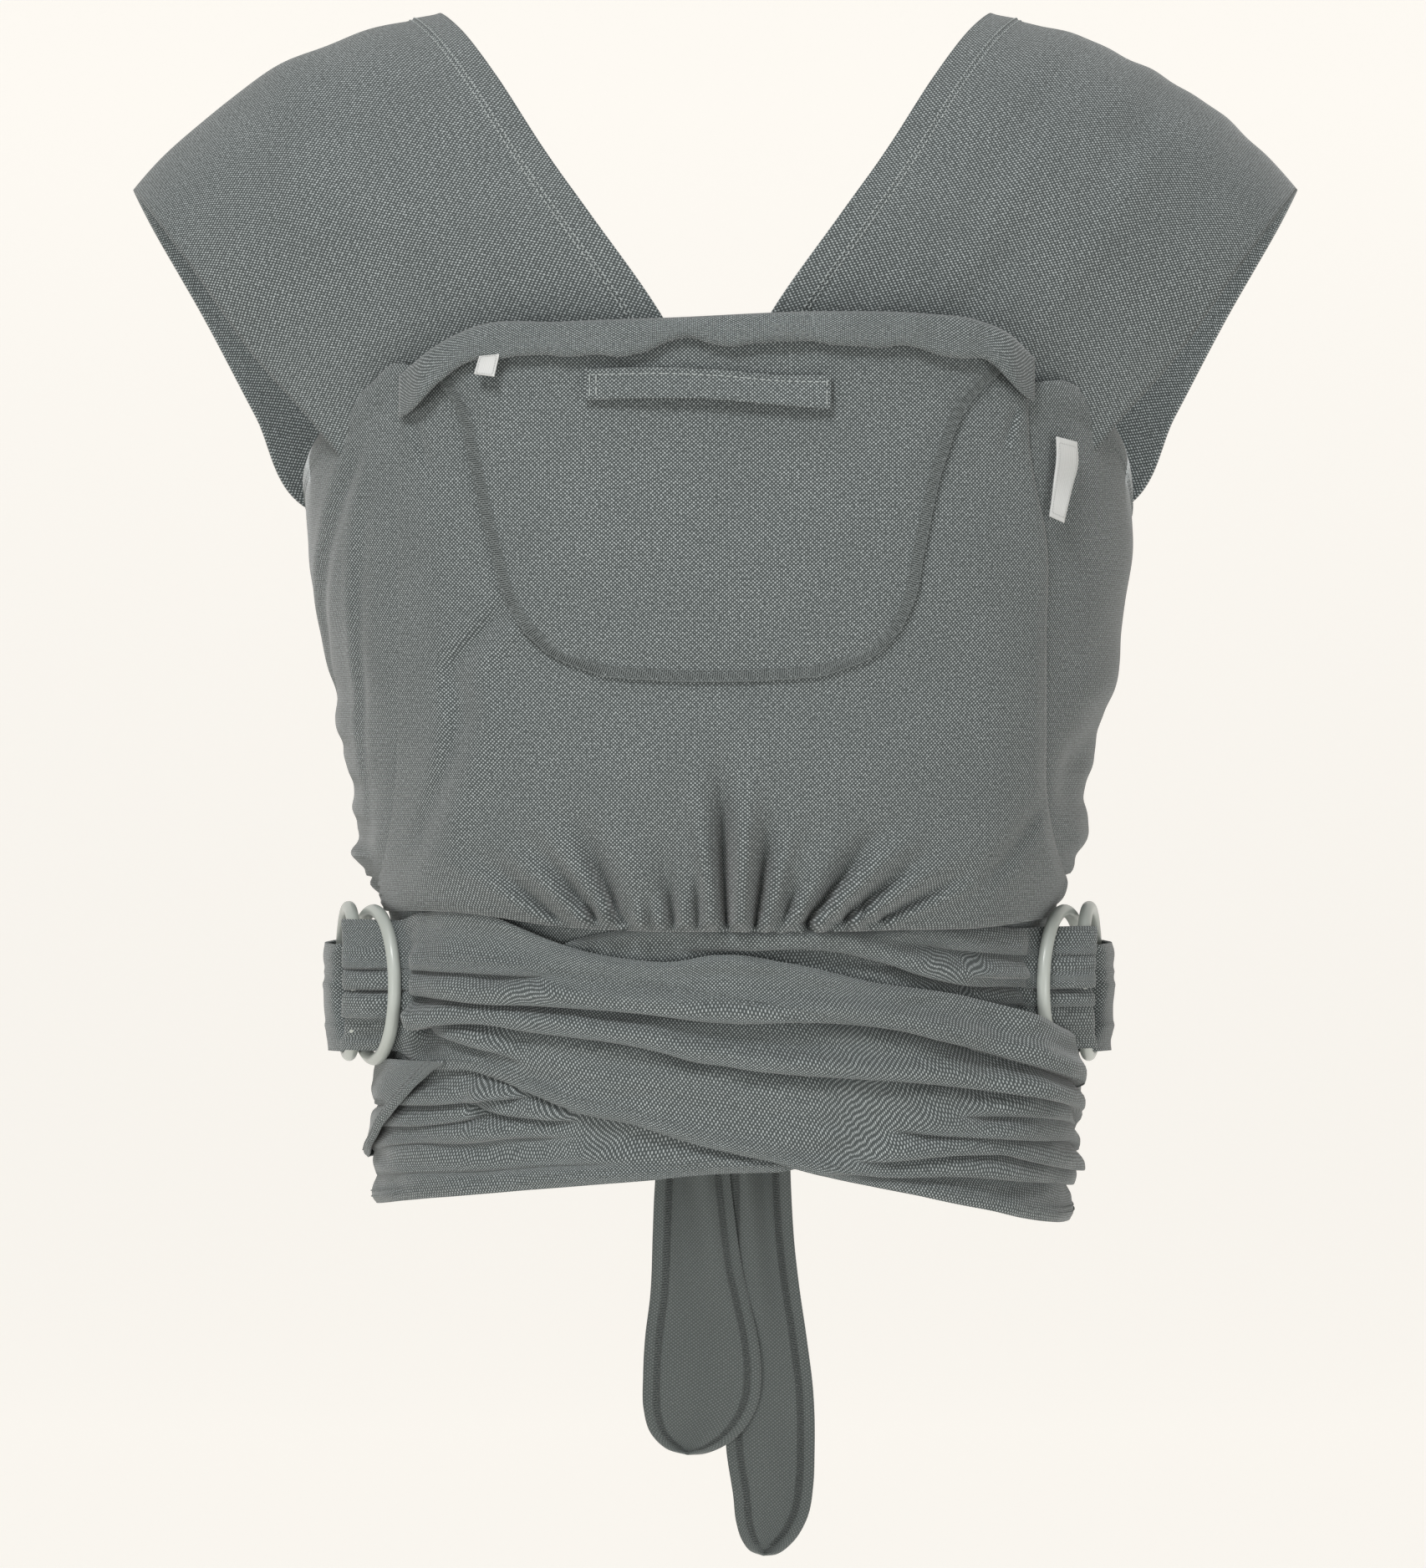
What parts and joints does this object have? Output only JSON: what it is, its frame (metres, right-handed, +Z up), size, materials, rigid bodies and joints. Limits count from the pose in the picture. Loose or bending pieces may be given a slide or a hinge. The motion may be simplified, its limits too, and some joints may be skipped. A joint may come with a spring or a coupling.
{
  "type": "baby wrap sling",
  "caption": "Worn-shape fabric baby carrier: shoulder bands, pouch panel with head support, paired sling rings at each hip, crossing waist sashes and hanging tails.",
  "frame": {"origin": "on the wearer's trunk axis, level with the lower edge of the waist sash", "axes": "+Z up along the wearer's trunk, -Y the wearer's front where the panel is, +X the wearer's left"},
  "size_m": [0.4451, 0.251, 0.5929],
  "materials": {
    "cloth": "grey-green oxford weave with pale dots",
    "cloth_plain_side": "grey-green weave, darker plain side",
    "ring_coat": "satin light grey coat",
    "label_ribbon": "light grey satin ribbon",
    "elastic": "off-white braided elastic",
    "interlining": "soft needled wadding"
  },
  "bodies": {
    "carrier": {"left_shoulder_band": "cloth", "right_shoulder_band": "cloth", "left_cross_band": "cloth", "right_cross_band": "cloth", "left_back_leg": "cloth", "right_back_leg": "cloth", "back_cross_sleeve": "cloth_plain_side", "front_panel": "cloth", "left_side_wing": "cloth", "right_side_wing": "cloth", "head_support_lining": "interlining", "head_support_cover": "cloth", "top_hem": "cloth", "top_hem_elastic": "elastic", "gather_elastic": "elastic", "carry_strap": "cloth", "left_sash": "cloth", "right_sash": "cloth", "left_sash_fold": "cloth", "left_ring_loop": "cloth", "right_ring_loop": "cloth", "left_ring_gather": "cloth", "right_ring_gather": "cloth", "sash_knot": "cloth_plain_side", "knot_wrap": "cloth_plain_side"},
    "left_rear_ring": {"left_ring_rear": "ring_coat"},
    "left_front_ring": {"left_ring_front": "ring_coat"},
    "right_rear_ring": {"right_ring_rear": "ring_coat"},
    "right_front_ring": {"right_ring_front": "ring_coat"},
    "tail_root": {"tail_root": "cloth_plain_side"},
    "left_tail": {"left_tail": "cloth_plain_side"},
    "right_tail": {"right_tail": "cloth_plain_side"},
    "tag_flap": {"small_tag": "label_ribbon"},
    "label_flap": {"side_label": "label_ribbon"}
  },
  "joints": [
    {"name": "left_rings_tip", "type": "hinge", "parent": "carrier", "child": "left_rear_ring", "pos_m": [-0.14515, 0.01361, 0.092], "axis": [0, 0, -1], "range_deg": [0, 10]},
    {"name": "left_front_ring_turn", "type": "hinge", "parent": "left_rear_ring", "child": "left_front_ring", "pos_m": [-0.13062, -0.03207, 0.091], "axis": [0.9466, 0.3223, 0], "continuous": true},
    {"name": "right_front_ring_turn", "type": "hinge", "parent": "carrier", "child": "right_front_ring", "pos_m": [0.13062, -0.03207, 0.091], "axis": [-0.9466, 0.3223, 0], "continuous": true},
    {"name": "right_rear_ring_turn", "type": "hinge", "parent": "carrier", "child": "right_rear_ring", "pos_m": [0.14097, -0.01407, 0.092], "axis": [-0.9888, 0.1495, 0], "continuous": true},
    {"name": "tails_swing_back", "type": "hinge", "parent": "carrier", "child": "tail_root", "pos_m": [0, 0.10863, 0.0148], "axis": [1, 0, 0], "range_deg": [0, 60]},
    {"name": "left_tail_swing", "type": "hinge", "parent": "tail_root", "child": "left_tail", "pos_m": [-0.008, 0.10708, -0.00975], "axis": [0, 1, 0], "range_deg": [-20, 20]},
    {"name": "right_tail_swing", "type": "hinge", "parent": "tail_root", "child": "right_tail", "pos_m": [0.013, 0.11018, -0.00678], "axis": [0, 1, 0], "range_deg": [-20, 20]},
    {"name": "small_tag_lift", "type": "hinge", "parent": "carrier", "child": "tag_flap", "pos_m": [-0.09503, -0.10841, 0.3315], "axis": [-0.9135, 0.4069, 0], "range_deg": [0, 70]},
    {"name": "side_label_lift", "type": "hinge", "parent": "carrier", "child": "label_flap", "pos_m": [0.12251, -0.08915, 0.2795], "axis": [0, 0, -1], "range_deg": [0, 80]}
  ]
}
